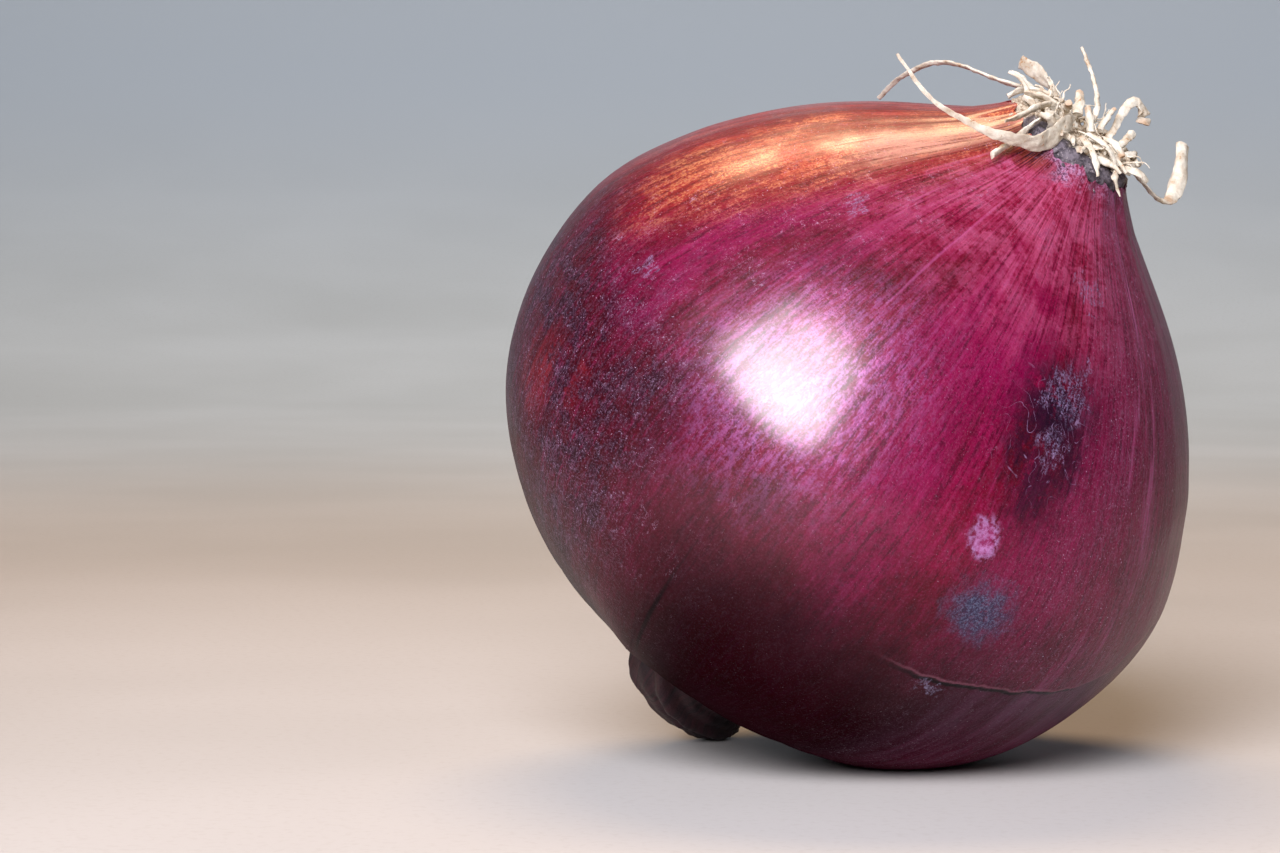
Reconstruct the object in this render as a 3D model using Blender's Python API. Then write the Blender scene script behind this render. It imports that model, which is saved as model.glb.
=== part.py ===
"""A whole red onion, dry-skinned and uncut, lying on its side with its root end up.

The frame is in metres with +Z up. The origin is the middle of the small flat that the bulb
rests on. The bulb's own axis lies in the XZ plane, and its root end points along +X and up.

Pieces are drawn in millimetres in the plant's frame: x is the side of the bulb that faces up,
y the side that faces world -Y, and z runs along the axis from the widest ring to the root end.
"""

import math

import bmesh
import bpy
from mathutils import Matrix, Vector

MM = 0.001
GAP = 0.3  # kept between neighbouring pieces

# How it lies
AXIS_RISE = math.radians(50.0)  # slope of the bulb's axis above the floor
REST_FLAT_DEPTH = 0.65  # how far the lowest skin is pressed flat

# Bulb: its outline from the neck to the root end, as (along the axis, out from it)
BULB_OUTLINE = (
    (-31.4, 7.0),
    (-30.6, 11.5),
    (-28.2, 19.8),
    (-23.0, 28.2),
    (-15.5, 34.2),
    (-6.0, 37.3),
    (4.0, 37.3),
    (13.0, 33.3),
    (20.5, 27.7),
    (26.5, 21.4),
    (31.3, 14.4),
    (34.3, 10.0),
    (36.6, 6.8),
)
BULB_STEPS = 2  # rings to each span of the outline
BULB_SIDES = 44
NECK_END = BULB_OUTLINE[0][0]
CROWN_END = BULB_OUTLINE[-1][0]
LEAN = 1.0  # the root end sits this far above the axis
LEAN_START = 18.0  # where along the axis the lean begins

# Basal plate: the corky disc that the roots grow from, as (above the bulb's end, out)
PLATE_OUTLINE = (
    (0.0, 6.4),
    (0.5, 6.9),
    (1.2, 6.5),
    (1.8, 5.0),
    (2.1, 2.6),
    (2.2, 0.0),
)
PLATE_STEPS = 1
PLATE_SIDES = 28

# Dry neck: rings as (centre measured from the bulb's end in world axes, radius)
NECK_RINGS = (
    ((0.0, 0.0, 0.0), 5.6),
    ((-1.3, 0.5, -2.3), 4.3),
    ((-1.3, 2.5, -4.6), 3.7),
    ((-0.2, 5.5, -6.5), 3.8),
    ((1.4, 9.0, -7.6), 3.4),
    ((2.8, 12.2, -8.2), 2.6),
)
NECK_STEPS = 2
NECK_SIDES = 20

# Dried roots: (name, thickness at the plate, thickness at the tip, route). The route's points
# are (up, near, out) from the middle of the crown, starting just clear of the plate.
CROWN_REACH = 1.4  # the middle of the crown, beyond the bulb's end
ROOTS = (
    ("front_ribbon", 1.4, 0.5,
     ((0.2, 3.6, 2.4), (0.0, 5.6, 1.6), (-0.3, 7.9, 0.1), (0.2, 10.1, -1.1), (1.8, 12.2, -1.9),
      (4.6, 13.7, -2.8), (9.5, 15.6, -3.4), (14.5, 17.8, -1.8))),
    ("front_strand", 0.8, 0.5,
     ((3.0, 4.2, 1.9), (3.3, 6.2, 1.1), (3.5, 8.2, -0.3), (3.8, 10.0, -1.3))),
    ("back_arch", 0.7, 0.6,
     ((3.7, -1.4, 1.9), (6.5, -1.6, 0.9), (11.0, -1.6, -1.0), (15.8, -3.6, -2.8),
      (19.2, -5.4, -5.3), (21.4, -7.4, -9.0), (22.6, -9.6, -12.4))),
    ("upright_broad", 1.2, 1.1,
     ((5.0, -3.4, 1.4), (6.6, -4.0, 1.7), (8.6, -4.8, 1.8), (11.3, -5.6, 1.4))),
    ("upright_thin", 0.6, 0.5,
     ((-0.3, -0.8, 1.9), (0.1, -1.0, 3.1), (1.2, -2.1, 4.2), (2.7, -3.0, 5.0),
      (4.8, -3.8, 6.0), (6.7, -4.5, 6.8))),
    ("hook", 1.1, 1.4,
     ((-1.9, -3.0, 1.7), (-1.4, -4.6, 2.6), (-0.2, -7.1, 4.3), (0.0, -8.7, 5.3),
      (-0.9, -9.9, 5.2), (-2.0, -10.4, 4.2), (-2.4, -9.9, 3.2))),
    ("side_stub", 0.9, 0.9,
     ((-3.7, -0.9, 1.8), (-3.8, -2.2, 2.4), (-3.7, -3.5, 3.1), (-3.6, -4.9, 3.9))),
    ("long_curl", 1.0, 1.4,
     ((-2.6, -4.8, 1.4), (-3.6, -6.2, 0.8), (-5.7, -8.5, -0.3), (-7.9, -11.1, -1.1),
      (-8.5, -12.7, -1.1), (-8.1, -14.4, -0.3), (-6.6, -16.3, 1.8), (-4.5, -18.3, 3.6))),
    ("hanging", 1.1, 0.6,
     ((-1.7, 2.8, 1.8), (-3.4, 3.2, 2.1), (-4.9, 3.3, 2.0), (-6.1, 3.2, 1.2),
      (-7.0, 3.2, 0.1), (-8.4, 3.0, -0.8))),
    ("under_stub", 0.8, 0.9,
     ((1.9, 6.2, 1.3), (2.1, 7.9, -0.6), (2.0, 9.4, -2.2), (1.9, 12.6, -4.2))),
    ("rim_curl", 0.8, 0.8,
     ((4.4, 0.3, 1.8), (5.9, 0.5, 1.4), (7.4, 0.8, 0.3), (7.9, 1.3, -1.0))),
    ("brown_stub", 0.9, 0.8,
     ((1.9, 1.5, 1.8), (2.0, 2.4, 2.5), (1.8, 3.3, 3.0))),
    ("top_stub", 1.1, 1.1,
     ((1.4, -0.5, 1.9), (2.3, -1.4, 2.9), (3.3, -2.4, 3.5))),
    ("middle_stub", 0.9, 0.8,
     ((-1.3, 1.0, 1.8), (-0.4, 0.8, 2.7), (0.8, 0.4, 3.4))),
    ("left_stub", 0.9, 0.8,
     ((3.2, 2.2, 1.8), (4.7, 2.7, 1.6), (6.2, 3.0, 0.8))),
    ("inner_stub", 0.7, 0.6,
     ((-1.2, -1.5, 2.0), (-0.5, -3.0, 3.2), (-0.2, -4.4, 4.2))),
    ("low_curl", 0.8, 0.7,
     ((-2.4, 0.9, 1.8), (-3.6, 1.2, 2.4), (-4.8, 1.5, 2.5), (-5.7, 1.7, 2.1))),
    ("near_curl", 0.7, 0.7,
     ((-1.9, 4.7, 1.5), (-3.4, 5.1, 1.4), (-4.8, 5.3, 0.7), (-5.9, 5.3, -0.3))),
)
ROOT_STEPS = 3
ROOT_BEVEL_RESOLUTION = 1

# Roots on the far side, which fold back over the bulb's shoulder: (name, degrees round the
# plate from its top, reach)
FAR_ROOTS = (
    ("root_far_1", -53.0, 4.0),
    ("root_far_2", -74.0, 3.2),
    ("root_far_3", -96.0, 4.5),
)
FAR_ROOT_THICKNESS = 0.9
FAR_ROOT_START = (5.3, 1.6)  # out from the plate's middle, above the crown's middle
FAR_ROOT_DROP = 0.85  # how far its tip falls towards the neck, as a share of its reach
FAR_ROOT_TURN = 14.0  # degrees that it swings sideways on its way

# Material values: colour, roughness
SKIN = ("onion_skin", (0.36, 0.02, 0.08), 0.32)
CORK = ("basal_cork", (0.16, 0.14, 0.15), 0.9)
PAPER = ("dry_neck_paper", (0.12, 0.035, 0.04), 0.7)
ROOT = ("dried_root", (0.68, 0.62, 0.5), 0.75)


def clear_scene():
    for thing in list(bpy.data.objects):
        bpy.data.objects.remove(thing)


def material(name, colour, roughness):
    made = bpy.data.materials.new(name)
    made.use_nodes = True
    shader = made.node_tree.nodes["Principled BSDF"]
    shader.inputs["Base Color"].default_value = (*colour, 1.0)
    shader.inputs["Roughness"].default_value = roughness
    shader.inputs["Metallic"].default_value = 0.0
    return made


def smooth(points, steps):
    """A Catmull-Rom curve through the points, with this many steps from each to the next."""
    points = [Vector(p) for p in points]
    padded = [2 * points[0] - points[1], *points, 2 * points[-1] - points[-2]]
    curve = []
    for a, b, c, d in zip(padded, padded[1:], padded[2:], padded[3:]):
        for step in range(steps):
            t = step / steps
            rise = (c - a) * t
            bend = (2 * a - 5 * b + 4 * c - d) * t**2
            twist = (3 * b - a - 3 * c + d) * t**3
            curve.append(b + 0.5 * (rise + bend + twist))
    return [*curve, points[-1]]


def plant_to_world():
    """The plant's frame in metres, placed so that the pressed flat is centred on the origin."""
    along = Vector((math.cos(AXIS_RISE), 0.0, math.sin(AXIS_RISE)))
    upper = Vector((-math.sin(AXIS_RISE), 0.0, math.cos(AXIS_RISE)))
    near = Vector((0.0, -1.0, 0.0))
    outline = smooth(BULB_OUTLINE, BULB_STEPS)
    lowest = min((z * along - r * upper for z, r in outline), key=lambda p: p.z)
    centre = Vector((-lowest.x, 0.0, -lowest.z - REST_FLAT_DEPTH))
    turn = Matrix((upper, near, along)).transposed().to_4x4()
    return Matrix.Scale(MM, 4) @ Matrix.Translation(centre) @ turn


def turned(outline, sides):
    """A closed body turned about the z axis from (z, radius) points, lowest first."""
    bm = bmesh.new()
    profile = [bm.verts.new((radius, 0.0, z)) for z, radius in outline]
    edges = [bm.edges.new(pair) for pair in zip(profile, profile[1:])]
    bmesh.ops.spin(
        bm,
        geom=profile + edges,
        cent=(0.0, 0.0, 0.0),
        axis=(0.0, 0.0, 1.0),
        angle=math.tau,
        steps=sides,
        use_merge=True,
    )
    bmesh.ops.remove_doubles(bm, verts=bm.verts[:], dist=0.001)
    bmesh.ops.holes_fill(bm, edges=[e for e in bm.edges if e.is_boundary])
    return bm


def press_flat(bm):
    """Cut away what would sink below the floor, and close the cut with a flat face."""
    everything = bm.verts[:] + bm.edges[:] + bm.faces[:]
    bmesh.ops.bisect_plane(
        bm,
        geom=everything,
        plane_co=(0.0, 0.0, 0.0),
        plane_no=(0.0, 0.0, 1.0),
        clear_inner=True,
    )
    bmesh.ops.holes_fill(bm, edges=[e for e in bm.edges if e.is_boundary])


def add_piece(name, bm, look):
    bmesh.ops.recalc_face_normals(bm, faces=bm.faces[:])
    mesh = bpy.data.meshes.new(name)
    bm.to_mesh(mesh)
    bm.free()
    mesh.shade_smooth()
    mesh.set_sharp_from_angle(angle=math.radians(40.0))
    mesh.materials.append(look)
    bpy.context.collection.objects.link(bpy.data.objects.new(name, mesh))


def lean(z):
    """How far the bulb's middle line has drifted upwards at this height on the axis."""
    part = max(0.0, (z - LEAN_START) / (CROWN_END - LEAN_START))
    return LEAN * min(part, 1.0) ** 2


def add_bulb(world, look):
    bm = turned(smooth(BULB_OUTLINE, BULB_STEPS), BULB_SIDES)
    for vert in bm.verts:
        vert.co.x += lean(vert.co.z)
    bm.transform(world)
    press_flat(bm)
    add_piece("bulb", bm, look)


def add_basal_plate(world, look):
    base = CROWN_END + GAP
    outline = [(base + z, radius) for z, radius in PLATE_OUTLINE]
    bm = turned(smooth(outline, PLATE_STEPS), PLATE_SIDES)
    bm.transform(world @ Matrix.Translation((LEAN, 0.0, 0.0)))
    add_piece("basal_plate", bm, look)


def ring_directions(centres, first):
    """The way the neck runs at each ring, starting square to the bulb's end."""
    steps = [(b - a).normalized() for a, b in zip(centres, centres[1:])]
    middle = [(a + b).normalized() for a, b in zip(steps, steps[1:])]
    return [first, *middle, steps[-1]]


def add_dry_neck(world, look):
    """Rings swept along the drooping neck, bridged, and pressed flat where they meet the floor."""
    start = world @ Vector((0.0, 0.0, NECK_END - GAP))
    rings = smooth([(*centre, radius) for centre, radius in NECK_RINGS], NECK_STEPS)
    centres = [start + MM * ring.xyz for ring in rings]
    first = world.to_3x3() @ Vector((0.0, 0.0, -1.0))
    bm = bmesh.new()
    last_ring = None
    for ring, centre, way in zip(rings, centres, ring_directions(centres, first.normalized())):
        turn = Vector((0.0, 0.0, 1.0)).rotation_difference(way).to_matrix().to_4x4()
        made = bmesh.ops.create_circle(
            bm,
            segments=NECK_SIDES,
            radius=MM * ring.w,
            matrix=Matrix.Translation(centre) @ turn,
        )
        edges = list({edge for vert in made["verts"] for edge in vert.link_edges if edge.is_wire})
        if last_ring:
            bmesh.ops.bridge_loops(bm, edges=last_ring + edges)
        last_ring = edges
    bmesh.ops.holes_fill(bm, edges=[e for e in bm.edges if e.is_boundary])
    press_flat(bm)
    add_piece("dry_neck", bm, look)


def add_root(name, route, thick_start, thick_end, world, look):
    """A round tapering strand along a smooth route, with closed ends."""
    crown = world @ Matrix.Translation((LEAN, 0.0, CROWN_END + CROWN_REACH))
    points = smooth(route, ROOT_STEPS)
    curve = bpy.data.curves.new(name, "CURVE")
    curve.dimensions = "3D"
    curve.bevel_depth = MM / 2
    curve.bevel_resolution = ROOT_BEVEL_RESOLUTION
    curve.use_fill_caps = True
    strand = curve.splines.new("POLY")
    strand.points.add(len(points) - 1)
    for index, (target, point) in enumerate(zip(strand.points, points)):
        share = index / (len(points) - 1)
        target.co = (*(crown @ point), 1.0)
        target.radius = thick_start + (thick_end - thick_start) * share
    curve.materials.append(look)
    bpy.context.collection.objects.link(bpy.data.objects.new(name, curve))


def far_route(angle, reach):
    """A route that leaves the plate's rim and falls back over the shoulder of the bulb."""
    out, height = FAR_ROOT_START
    route = []
    for share in (0.0, 0.3, 0.65, 1.0):
        way = math.radians(angle + FAR_ROOT_TURN * share**2)
        radius = out + reach * share
        drop = FAR_ROOT_DROP * reach * share**2
        route.append((radius * math.cos(way), radius * math.sin(way), height - drop))
    return route


def build():
    clear_scene()
    world = plant_to_world()
    add_bulb(world, material(*SKIN))
    add_basal_plate(world, material(*CORK))
    add_dry_neck(world, material(*PAPER))
    root_look = material(*ROOT)
    for name, thick_start, thick_end, route in ROOTS:
        add_root("root_" + name, route, thick_start, thick_end, world, root_look)
    for name, angle, reach in FAR_ROOTS:
        route = far_route(angle, reach)
        add_root(name, route, FAR_ROOT_THICKNESS, FAR_ROOT_THICKNESS, world, root_look)


build()
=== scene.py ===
import math
import random

import bmesh
import bpy
import numpy as np
from mathutils import Matrix, Vector, noise


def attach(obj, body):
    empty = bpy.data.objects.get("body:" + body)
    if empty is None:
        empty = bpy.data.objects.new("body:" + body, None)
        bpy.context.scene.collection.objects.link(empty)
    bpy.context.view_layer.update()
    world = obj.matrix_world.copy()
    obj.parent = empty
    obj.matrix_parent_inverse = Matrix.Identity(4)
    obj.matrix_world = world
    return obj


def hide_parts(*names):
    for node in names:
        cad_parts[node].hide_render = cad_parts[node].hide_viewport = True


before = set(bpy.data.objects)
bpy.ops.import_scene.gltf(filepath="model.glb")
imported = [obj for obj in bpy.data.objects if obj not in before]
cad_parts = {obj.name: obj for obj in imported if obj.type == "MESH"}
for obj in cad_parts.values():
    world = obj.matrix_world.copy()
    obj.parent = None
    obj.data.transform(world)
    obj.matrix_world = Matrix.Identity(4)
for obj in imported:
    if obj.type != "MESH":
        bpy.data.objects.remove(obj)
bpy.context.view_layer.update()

# The plant's frame, in millimetres: x is the side of the bulb that faces up, y the side that
# faces world -Y, and z runs along its axis from the widest ring to the root end.
MM = 0.001
AXIS_RISE = math.radians(50.0)
ALONG = Vector((math.cos(AXIS_RISE), 0.0, math.sin(AXIS_RISE)))
UPPER = Vector((-math.sin(AXIS_RISE), 0.0, math.cos(AXIS_RISE)))
NEAR = Vector((0.0, -1.0, 0.0))
REST_FLAT_DEPTH = 0.65

BULB_OUTLINE = (
    (-31.4, 7.0),
    (-30.6, 11.5),
    (-28.2, 19.8),
    (-23.0, 28.2),
    (-15.5, 34.2),
    (-6.0, 37.3),
    (4.0, 37.3),
    (13.0, 33.3),
    (20.5, 27.7),
    (26.5, 21.4),
    (31.3, 14.4),
    (34.3, 10.0),
    (36.6, 6.8),
)
NECK_END = BULB_OUTLINE[0][0]
CROWN_END = BULB_OUTLINE[-1][0]
LEAN = 1.0  # the root end sits this far above the axis
LEAN_START = 18.0
GAP = 0.3


def smooth(points, steps):
    """A Catmull-Rom curve through the points, with this many steps from each to the next."""
    points = [Vector(p) for p in points]
    padded = [2 * points[0] - points[1], *points, 2 * points[-1] - points[-2]]
    curve = []
    for a, b, c, d in zip(padded, padded[1:], padded[2:], padded[3:]):
        for step in range(steps):
            t = step / steps
            rise = (c - a) * t
            bend = (2 * a - 5 * b + 4 * c - d) * t**2
            twist = (3 * b - a - 3 * c + d) * t**3
            curve.append(b + 0.5 * (rise + bend + twist))
    return [*curve, points[-1]]


OUTLINE = np.array([tuple(p) for p in smooth(BULB_OUTLINE, 8)])
lowest = min((z * ALONG - r * UPPER for z, r in smooth(BULB_OUTLINE, 2)), key=lambda p: p.z)
CENTRE = Vector((-lowest.x, 0.0, -lowest.z - REST_FLAT_DEPTH))
TURN = Matrix((UPPER, NEAR, ALONG)).transposed()
PLACE = Matrix.Translation(MM * CENTRE) @ TURN.to_4x4()
CROWN_MIDDLE = Vector((LEAN, 0.0, CROWN_END + 1.4))


def outline_radius(z):
    return np.interp(z, OUTLINE[:, 0], OUTLINE[:, 1])


def lean(z):
    """How far the bulb's middle line has drifted upwards at this height on the axis."""
    part = (np.asarray(z) - LEAN_START) / (CROWN_END - LEAN_START)
    return LEAN * np.clip(part, 0.0, 1.0) ** 2


# ---------------------------------------------------------------- camera and studio
CAMERA_SIDE = math.radians(25.83)
CAMERA_TILT = math.radians(2.5)
CAMERA_OFFSET = Vector((-22.86, -0.04, 373.34))  # right, up and back from the bulb's middle


def add_camera():
    right = Vector((math.cos(CAMERA_SIDE), math.sin(CAMERA_SIDE), 0.0))
    level = Vector((math.sin(CAMERA_SIDE), -math.cos(CAMERA_SIDE), 0.0))
    back = level * math.cos(CAMERA_TILT) + Vector((0.0, 0.0, math.sin(CAMERA_TILT)))
    up = back.cross(right)
    spot = CENTRE + sum((a * b for a, b in zip(CAMERA_OFFSET, (right, up, back))), Vector())
    data = bpy.data.cameras.new("camera")
    data.lens = 100.0
    data.sensor_width = 36.0
    data.clip_start = 0.01
    camera = bpy.data.objects.new("camera", data)
    camera.matrix_world = Matrix.Translation(MM * spot) @ (
        Matrix((right, up, back)).transposed().to_4x4()
    )
    bpy.context.collection.objects.link(camera)
    bpy.context.scene.camera = camera


def add_light(name, towards, distance, size, power, colour, aim=None, spread=180.0):
    """A soft box this far from the bulb's middle, in that direction, which faces the bulb or aim."""
    data = bpy.data.lights.new(name, "AREA")
    data.shape = "ELLIPSE"
    data.size, data.size_y = size
    data.energy = power
    data.color = colour
    data.spread = math.radians(spread)
    lamp = bpy.data.objects.new(name, data)
    way = Vector(towards).normalized()
    lamp.location = MM * CENTRE + way * distance
    facing = Vector(aim) if aim else -way
    lamp.rotation_euler = facing.to_track_quat("-Z", "Y").to_euler()
    bpy.context.collection.objects.link(lamp)


# ---------------------------------------------------------------- material tools
def ink(red, green, blue):
    """A colour given as a painter reads it, 0 to 255, turned into light."""
    parts = (c / 255 for c in (red, green, blue))
    return (*(c / 12.92 if c <= 0.04045 else ((c + 0.055) / 1.055) ** 2.4 for c in parts), 1.0)


class Wire:
    """One output socket of a material. Arithmetic on it adds the Math nodes."""

    def __init__(self, look, socket):
        self.look = look
        self.socket = socket

    def math(self, operation, *terms):
        return self.look.node("ShaderNodeMath", {"operation": operation}, terms)

    def __add__(self, other):
        return self.math("ADD", self, other)

    __radd__ = __add__

    def __sub__(self, other):
        return self.math("SUBTRACT", self, other)

    def __rsub__(self, other):
        return self.math("SUBTRACT", other, self)

    def __mul__(self, other):
        return self.math("MULTIPLY", self, other)

    __rmul__ = __mul__

    def __truediv__(self, other):
        return self.math("DIVIDE", self, other)

    def __rtruediv__(self, other):
        return self.math("DIVIDE", other, self)

    def __pow__(self, other):
        return self.math("POWER", self, other)

    def fade(self, low, high):
        """0 where the value is low and 1 where it is high, with a soft step between."""
        return self.look.node(
            "ShaderNodeMapRange",
            {"interpolation_type": "SMOOTHSTEP"},
            {"Value": self, "From Min": low, "From Max": high},
        )

    def band(self, low, high, soft):
        """1 between the two values and 0 outside them."""
        return self.fade(low - soft, low + soft) * self.fade(high + soft, high - soft)


class Look:
    """One material and the nodes that give it its finish."""

    def __init__(self, name):
        self.material = bpy.data.materials.new(name)
        self.material.use_nodes = True
        self.tree = self.material.node_tree
        self.shader = self.tree.nodes["Principled BSDF"]

    def node(self, kind, settings=(), inputs=(), output=0):
        """Any node: its settings are set first, and then the values or links of its sockets."""
        made = self.tree.nodes.new(kind)
        for key, value in dict(settings).items():
            setattr(made, key, value)
        given = inputs.items() if isinstance(inputs, dict) else enumerate(inputs)
        for key, value in given:
            if isinstance(value, Wire):
                self.tree.links.new(value.socket, made.inputs[key])
            else:
                made.inputs[key].default_value = value
        return Wire(self, made.outputs[output])

    def vector(self, operation, *terms, output=0):
        return self.node("ShaderNodeVectorMath", {"operation": operation}, terms, output)

    def mix(self, share, first, second, blend="MIX"):
        settings = {"data_type": "RGBA", "blend_type": blend, "clamp_factor": True}
        return self.node("ShaderNodeMix", settings, {0: share, 6: first, 7: second}, output=2)

    def noise(self, place, scale, detail=2.0, roughness=0.5, distortion=0.0):
        inputs = {
            "Vector": place,
            "Scale": scale,
            "Detail": detail,
            "Roughness": roughness,
            "Distortion": distortion,
        }
        return self.node("ShaderNodeTexNoise", {"noise_dimensions": "3D"}, inputs)

    def cells(self, place, scale, feature="F1"):
        inputs = {"Vector": place, "Scale": scale}
        return self.node("ShaderNodeTexVoronoi", {"feature": feature}, inputs)

    def attribute(self, name):
        """A number stored on the points of the piece, or 0 where it has none."""
        return self.node("ShaderNodeAttribute", {"attribute_name": name}, output=2)

    def plant_place(self):
        """Where a point is in the plant's frame, in millimetres."""
        at = self.node("ShaderNodeTexCoord", output=3)
        inverse = TURN.transposed()
        inputs = {
            "Vector": at,
            "Location": inverse @ -CENTRE,
            "Rotation": inverse.to_euler("XYZ"),
            "Scale": (1 / MM,) * 3,
        }
        return self.node("ShaderNodeMapping", {"vector_type": "POINT"}, inputs)

    def parts(self, place):
        apart = self.node("ShaderNodeSeparateXYZ", (), [place])
        return [Wire(self, output) for output in apart.socket.node.outputs]

    def round_place(self, place, around, along):
        """A place that changes fast round the bulb and slowly along it, for its streaks."""
        flat = self.vector("MULTIPLY", place, (1.0, 1.0, 0.0))
        spoke = self.vector("NORMALIZE", flat)
        shift = self.vector("MULTIPLY", place, (0.0, 0.0, along))
        return self.vector("MULTIPLY_ADD", spoke, (around,) * 3, shift)

    def spot(self, place, angle, height, wide, tall, turn=0.0, soft=0.35, deep=6.0):
        """1 inside an oval mark on the skin, at an angle round the bulb and a height along it."""
        way = math.radians(angle)
        out = float(outline_radius(height))
        inputs = {
            "Vector": place,
            "Location": (out * math.cos(way), out * math.sin(way), height),
            "Rotation": (math.radians(turn), 0.0, way),
            "Scale": (deep, wide, tall),
        }
        local = self.node("ShaderNodeMapping", {"vector_type": "TEXTURE"}, inputs)
        return self.vector("LENGTH", local, output=1).fade(1.0 + soft, 1.0 - soft)

    def bump(self, height, strength, distance, under=None):
        inputs = {"Height": height, "Strength": strength, "Distance": distance}
        if under:
            inputs["Normal"] = under
        return self.node("ShaderNodeBump", (), inputs)

    def cover(self, share, settings):
        """Lays a second shader over the first one, by a share that varies over the surface."""
        over = self.node("ShaderNodeBsdfPrincipled", (), settings)
        first = Wire(self, self.shader.outputs[0])
        both = self.node("ShaderNodeMixShader", (), {0: share, 1: first, 2: over})
        self.tree.links.new(both.socket, self.tree.nodes["Material Output"].inputs["Surface"])

    def finish(self, even=(), **varying):
        """Sets the shader's even values, and links what varies over the surface."""
        for name, value in dict(even).items():
            self.shader.inputs[name].default_value = value
        for name, wire in varying.items():
            self.tree.links.new(wire.socket, self.shader.inputs[name.replace("_", " ")])
        return self.material


def skin_look():
    """Dry red-onion skin: magenta to wine red, coppery on its upper left, streaked and dusty, with painted highlights,
    glints, sheen and shade.
    """
    look = Look("onion_skin")
    exact = look.plant_place()
    x, y, z = look.parts(exact)
    wander = look.node("ShaderNodeTexNoise", {"noise_dimensions": "3D"},
                       {"Vector": exact, "Scale": 0.9, "Detail": 3.0}, output=1)
    wander = look.vector("SUBTRACT", wander, (0.5, 0.5, 0.5))
    place = look.vector("MULTIPLY_ADD", wander, (1.6, 1.6, 1.6), exact)
    rough_place = look.vector("MULTIPLY_ADD", wander, (4.5, 4.5, 4.5), exact)
    # degrees round the bulb, measured so that the jump from 280 to -80 is at the back
    front = math.radians(100.0)
    across = y * math.cos(front) - x * math.sin(front)
    ahead = x * math.cos(front) + y * math.sin(front)
    turn = across.math("ARCTAN2", across, ahead) * math.degrees(1.0) + 100.0

    tear_away = look.attribute("tear_away")
    tear_share = look.attribute("tear_share")
    broad = look.noise(look.round_place(exact, 3.0, 0.035), 1.0, 3.0)
    strands = look.noise(look.round_place(exact, 13.0, 0.06), 1.0, 5.0, 0.62)
    fibres = look.noise(look.round_place(exact, 55.0, 0.16), 1.0, 3.0, 0.65)
    threads = look.noise(look.round_place(exact, 130.0, 0.40), 1.0, 2.0, 0.6)
    flecks = look.noise(look.round_place(exact, 75.0, 0.85), 1.0, 3.0, 0.7)
    clouds = look.noise(exact, 0.10, 5.0, 0.62)
    puffs = look.noise(rough_place, 0.34, 4.0, 0.65)
    grain = look.noise(exact, 1.7, 4.0, 0.7)
    grit = look.noise(exact, 4.2, 2.0, 0.7)

    # body colour
    mood = (strands * 0.5 + clouds * 0.8 + puffs * 0.3).fade(0.62, 1.02)
    tone = look.mix(mood, ink(96, 0, 22), ink(146, 0, 62))
    tone = look.mix(broad.fade(0.42, 0.62) * 0.6, tone, ink(142, 0, 74))
    crown = (z + strands * 10.0 + puffs * 12.0).fade(30.0, 48.0)
    rose = look.mix((puffs * 0.6 + fibres * 0.4 + grain * 0.3).fade(0.50, 0.84), ink(152, 12, 46), ink(228, 122, 150))
    rose = look.mix((grain * 0.7 + puffs * 0.6 + strands * 0.3).fade(0.80, 1.06) * 0.7, rose, ink(82, 8, 44))
    tone = look.mix(crown * 0.9, tone, rose)
    crust = (grain * 0.6 + puffs * 0.6).fade(0.50, 0.72)
    scurf = (z + puffs * 5.0 + grain * 2.0).fade(38.4, 40.6) * (0.35 + crust * 0.65)
    tone = look.mix(scurf * 0.85, tone, look.mix(grit.fade(0.4, 0.62), ink(92, 66, 88), ink(206, 184, 200)))

    # lilac flecks in cloudy patches over the front, and a painted highlight halo of lilac flecks round where the
    # highlight falls
    front_zone = (turn + clouds * 30.0).band(72.0, 150.0, 22.0) * (z + clouds * 16.0).band(-8.0, 34.0, 12.0)
    haze = (puffs * 0.7 + clouds * 0.5).fade(0.52, 0.78)
    cells = (flecks * 0.6 + fibres * 0.3 + grit * 0.3).fade(0.52, 0.72)
    # painted highlight halo: lilac flecks crowded round the spot where the window's highlight falls
    glow = look.spot(rough_place, 94.0, 8.5, 8.5, 10.5, -20.0, 0.8, 14.0)
    satin_and_painted_halo = cells * (0.01 + front_zone * haze * 0.10 + glow * 0.8)
    tone = look.mix(satin_and_painted_halo * 0.62, tone, ink(208, 150, 214))

    # the left side, wine dark, under silvery dust and painted grey sheen
    dark = (turn + clouds * 34.0).band(36.0, 100.0, 12.0) * (z + clouds * 14.0).band(-34.0, 13.0, 8.0)
    tone = look.mix(dark * 0.92, tone, look.mix(puffs.fade(0.4, 0.6), ink(72, 0, 16), ink(34, 6, 22)))
    embers = (turn + puffs * 26.0).band(60.0, 74.0, 7.0) * (z + puffs * 20.0).band(-3.0, 3.0, 4.0)
    tone = look.mix(embers * strands.fade(0.42, 0.6) * 0.7, tone, ink(150, 34, 34))

    # copper and coral skin on the upper left, with painted gold glints and a painted peach highlight of the warm top
    # light
    edge = turn + (z - 30.0) * -0.9 + strands * 16.0 + puffs * 8.0
    warm = edge.fade(92.0, 74.0) * turn.fade(-50.0, 0.0) * (z + clouds * 14.0 + strands * 8.0).fade(13.0, 26.0)
    copper = look.mix((strands + puffs * 0.4).fade(0.60, 0.86), ink(140, 6, 22), ink(190, 48, 34))
    patches = (puffs * 0.8 + strands * 0.7).fade(0.68, 0.84) * (0.3 + clouds.fade(0.40, 0.56) * 0.7)
    # painted gold glints, also metallic so that they catch the warm top light
    painted_gold_glints = (fibres * 0.4 + grit * 0.6 + grain * 0.2).fade(0.54, 0.70) * patches * turn.band(28.0, 68.0, 10.0)
    copper = look.mix(painted_gold_glints * 0.9, copper, ink(250, 186, 112))
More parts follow.
